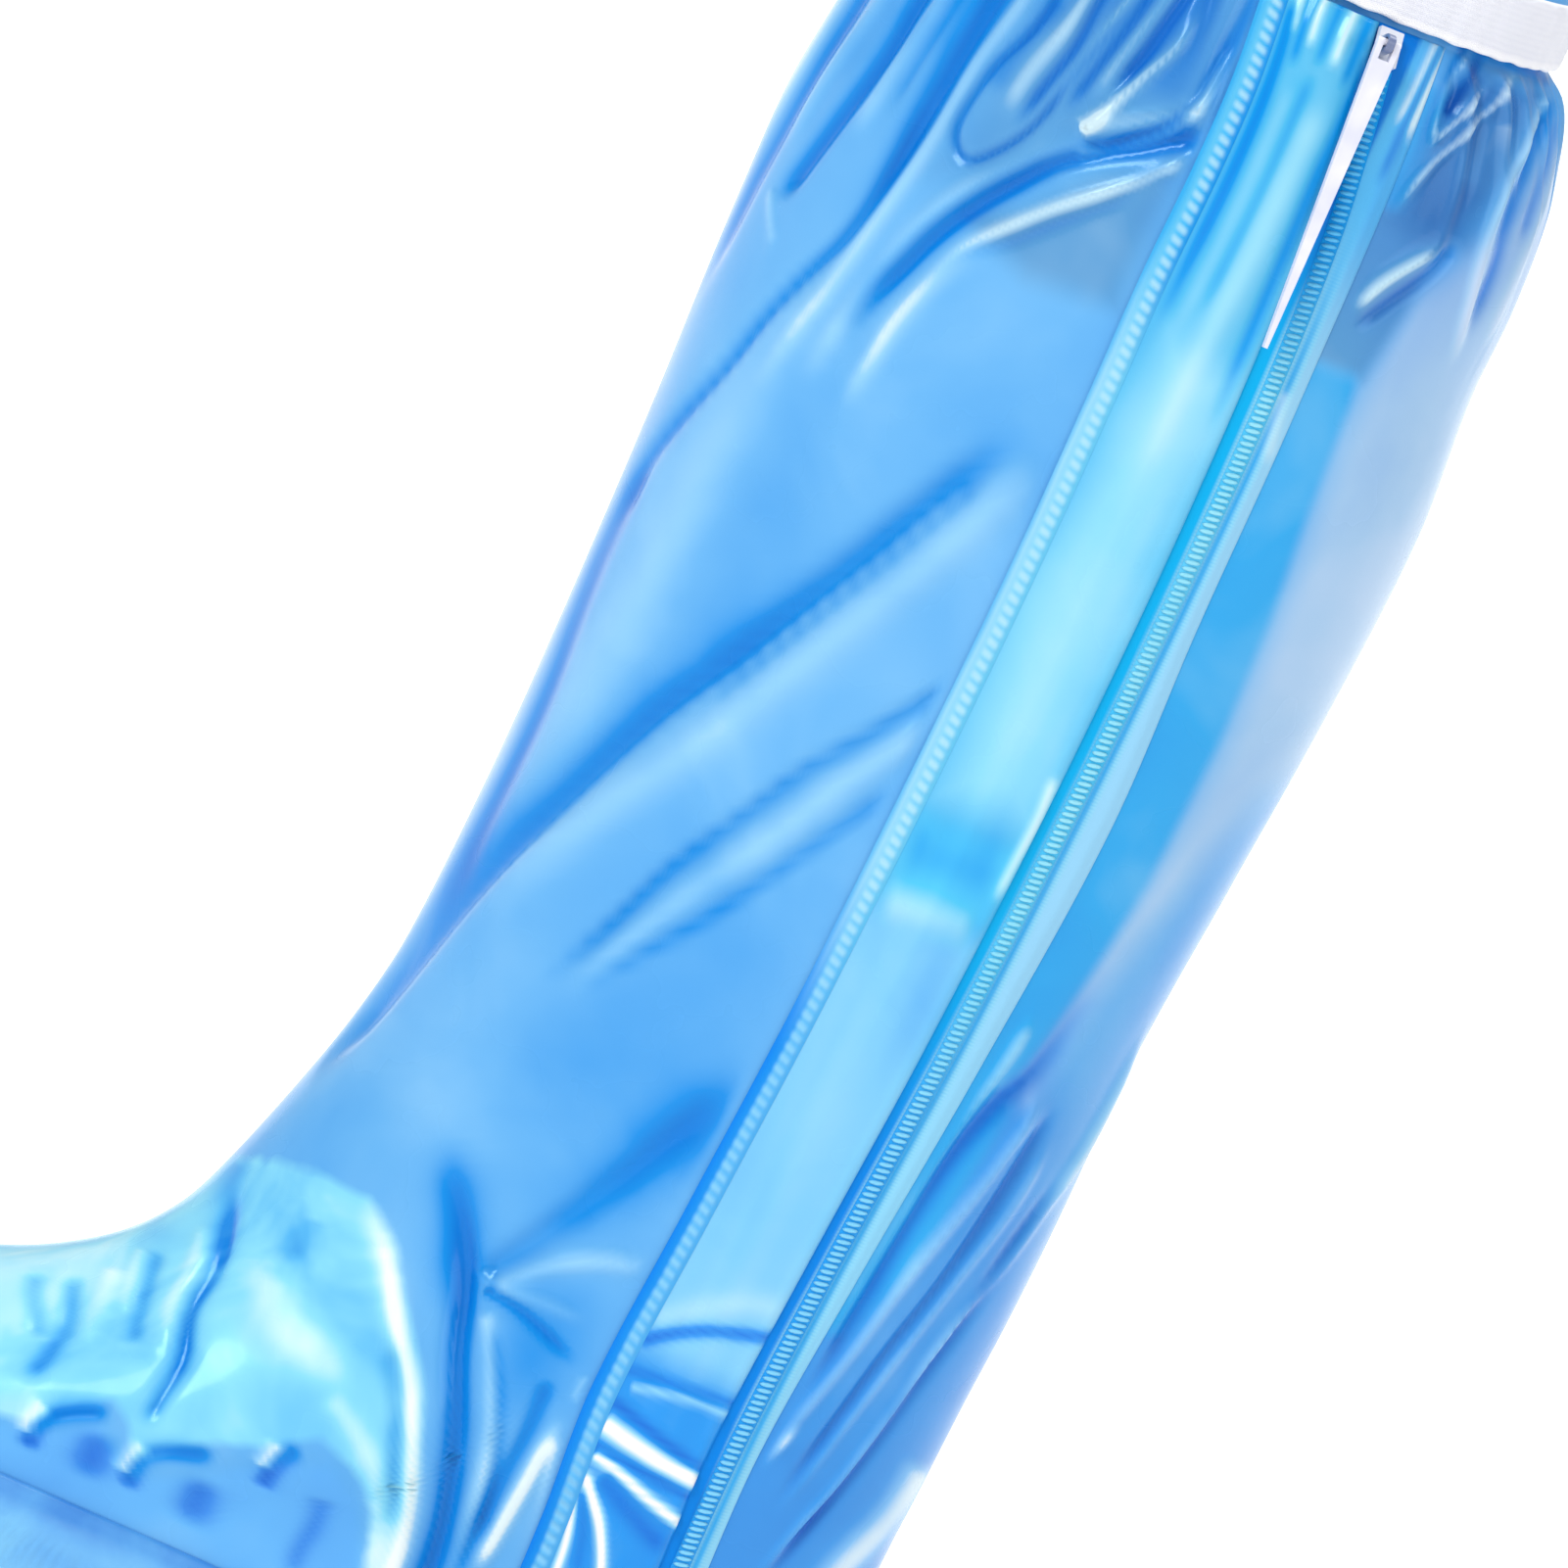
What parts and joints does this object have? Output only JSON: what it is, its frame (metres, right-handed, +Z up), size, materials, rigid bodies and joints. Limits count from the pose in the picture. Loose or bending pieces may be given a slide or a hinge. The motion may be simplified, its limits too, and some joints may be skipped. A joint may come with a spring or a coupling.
{
  "type": "tall zipped shoe cover",
  "caption": "Tall waterproof PVC film shoe cover with a gathered elastic top, a side zip under a storm flap and its own sole.",
  "frame": {"origin": "centre of the rest face of the cross lug under the middle of the sole", "axes": "+Z up the leg, -X towards the toe, -Y out of the zip side, which is the outer side of a left foot"},
  "size_m": [0.3096, 0.1193, 0.4515],
  "materials": {
    "film": "glossy translucent blue PVC film with a pearly sheen",
    "sole_pvc": "satin blue PVC with a ribbed side wall",
    "elastic": "matt white woven elastic",
    "flap_film": "glossy pale cyan PVC film",
    "seam_film": "satin pale cyan film with a stitch row",
    "tape_weave": "pale coated zip tape",
    "coil_plastic": "satin pale cyan coil teeth",
    "slider_metal": "satin light grey",
    "pull_plastic": "smooth white"
  },
  "bodies": {
    "cover": {"upper": "film", "sole": "sole_pvc", "top_band": "elastic", "zip_flap": "flap_film", "flap_seam": "seam_film", "zip_tape": "tape_weave", "zip_coil": "coil_plastic", "zip_slider": "slider_metal"},
    "pull": {"zip_pull": "pull_plastic"}
  },
  "joints": [
    {"name": "pull_hinge", "type": "hinge", "parent": "cover", "child": "pull", "pos_m": [0.1062, -0.05027, 0.4334], "axis": [-0.9369, -0.3494, -0.0072], "range_deg": [0, 150]}
  ]
}
